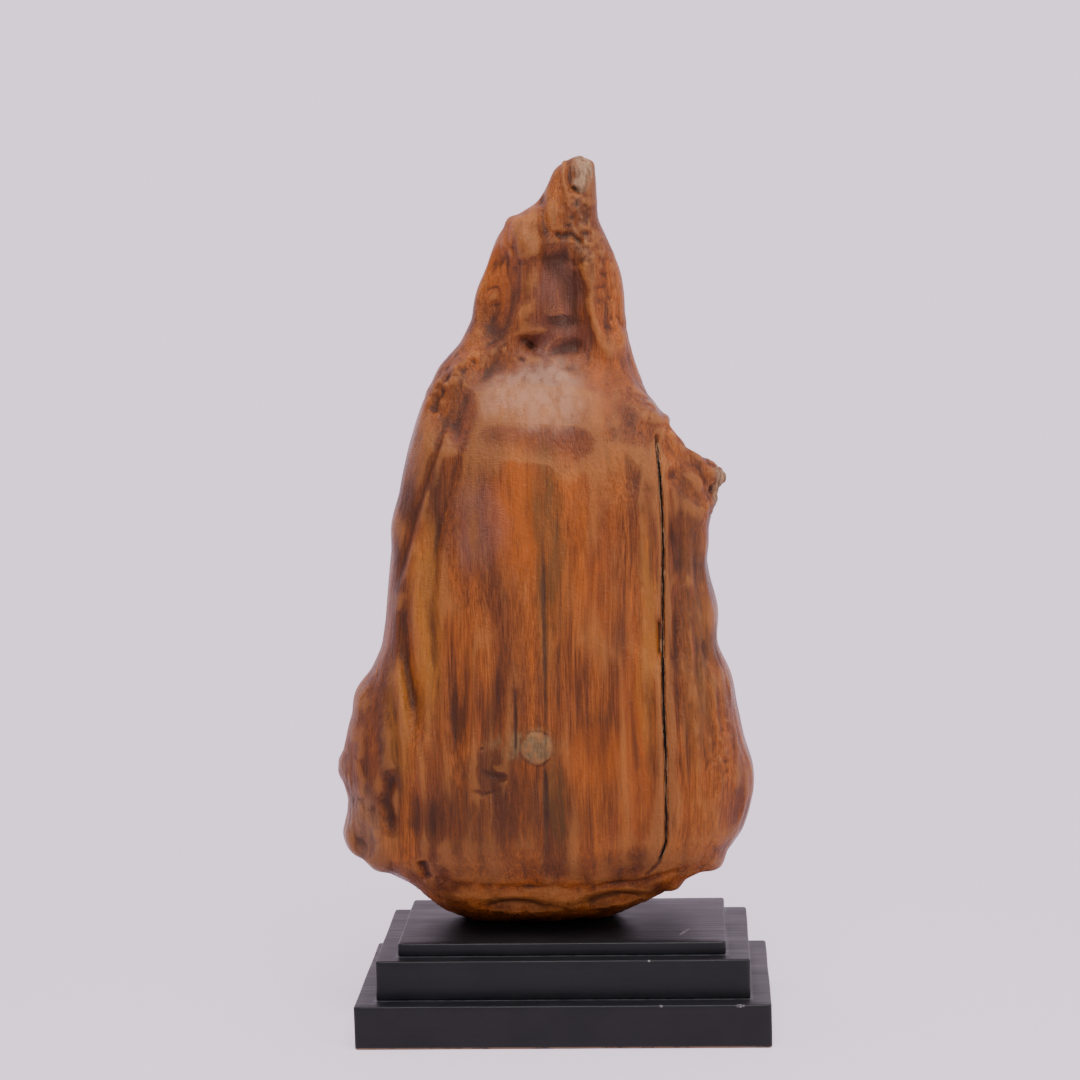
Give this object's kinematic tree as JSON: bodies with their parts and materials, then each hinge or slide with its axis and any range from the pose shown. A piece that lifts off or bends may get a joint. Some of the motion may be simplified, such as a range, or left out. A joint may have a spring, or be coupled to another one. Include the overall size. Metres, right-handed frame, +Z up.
{
  "type": "buddha figure",
  "caption": "Seated figure carved in high relief in the front of a standing log of varnished wood, with a rough adzed back, on a stepped, painted wooden stand.",
  "frame": {"origin": "centre of the underside of the stand's bottom board", "axes": "+Z up along the figure's height, the figure faces -Y, the log's rough back faces +Y, +X to the figure's left"},
  "size_m": [0.2665, 0.152, 0.539],
  "materials": {
    "varnished_wood": "satin brown-orange varnish over adzed and sanded wood, with darker stains and a few raw, pale breaks",
    "stand_paint": "satin charcoal paint, worn along the arrises"
  },
  "bodies": {
    "root": {"carved_figure": "varnished_wood", "base_board_bottom": "stand_paint", "base_board_middle": "stand_paint", "base_board_top": "stand_paint"}
  },
  "joints": []
}
